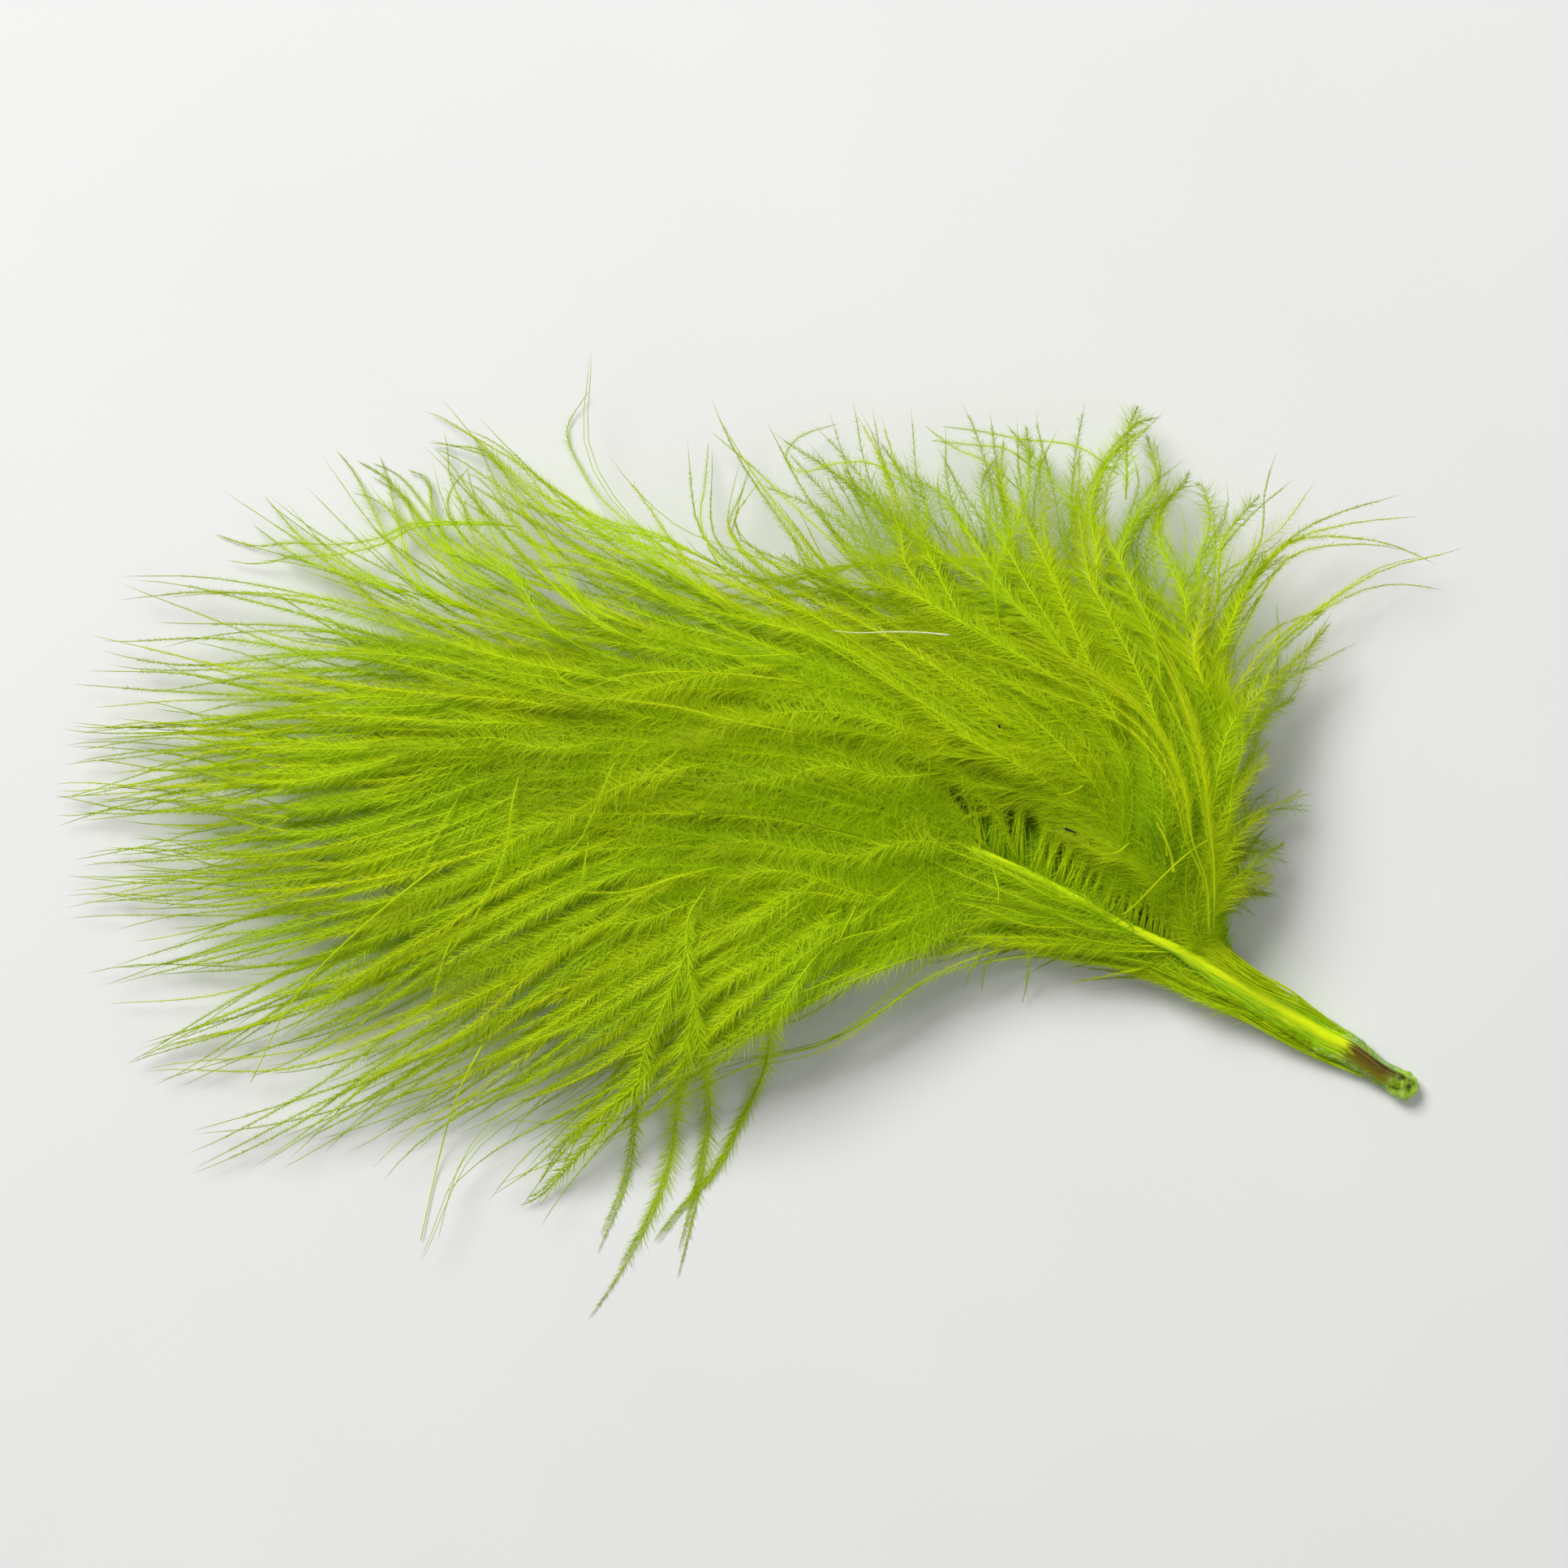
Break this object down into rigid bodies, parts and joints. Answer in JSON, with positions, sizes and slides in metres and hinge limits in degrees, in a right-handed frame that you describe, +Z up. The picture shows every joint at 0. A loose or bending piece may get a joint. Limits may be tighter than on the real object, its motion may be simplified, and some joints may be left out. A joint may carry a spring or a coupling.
{
  "type": "feather",
  "caption": "Loose dyed marabou feather lying flat: a short bare quill that runs into a soft, spreading plume of fluffy barbs",
  "frame": {"origin": "middle of the box that the feather fills, on the surface it lies on", "axes": "+X along the plume's length towards the closed end of the quill, +Y across the plume towards its wide curly side, +Z up off the surface"},
  "size_m": [0.0802, 0.0552, 0.0101],
  "materials": {
    "barbs": "matte",
    "quill": "satin",
    "dirt": "matte"
  },
  "bodies": {
    "root": {"feather": "barbs"}
  },
  "joints": []
}
